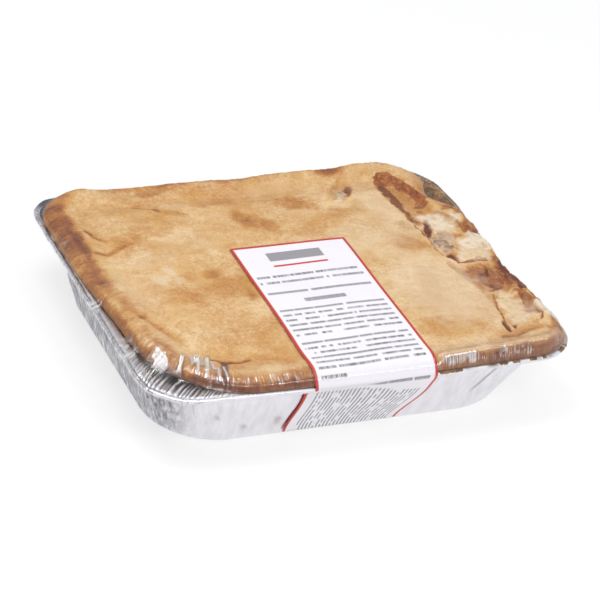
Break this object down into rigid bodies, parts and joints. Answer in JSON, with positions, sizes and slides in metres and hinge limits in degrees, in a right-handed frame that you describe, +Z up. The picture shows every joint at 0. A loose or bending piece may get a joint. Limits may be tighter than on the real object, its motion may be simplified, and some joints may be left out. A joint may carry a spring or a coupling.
{
  "type": "tourtiere",
  "caption": "Deep rectangular meat pie with a browned pastry lid in a foil tray with a rolled rim, wrapped in clear shrink film with a paper label folded over its front edge.",
  "frame": {"origin": "under the middle of the whole pie, on the surface it rests on", "axes": "+X along the long side towards the split edge of the lid, -Y towards the labelled front, +Z up"},
  "size_m": [0.3286, 0.2694, 0.0694],
  "materials": {
    "foil": "bright rolled foil, pleated at the corners",
    "filling": "moist cooked meat and potato chunks, matte",
    "pastry": "baked pastry, matte, mottled golden tan with browned edges",
    "film": "clear glossy shrink film",
    "paper": "coated white paper with a red border and grey print fields"
  },
  "bodies": {
    "root": {"foil_tray": "foil", "filling": "filling", "top_crust": "pastry", "shrink_film": "film", "label": "paper"}
  },
  "joints": []
}
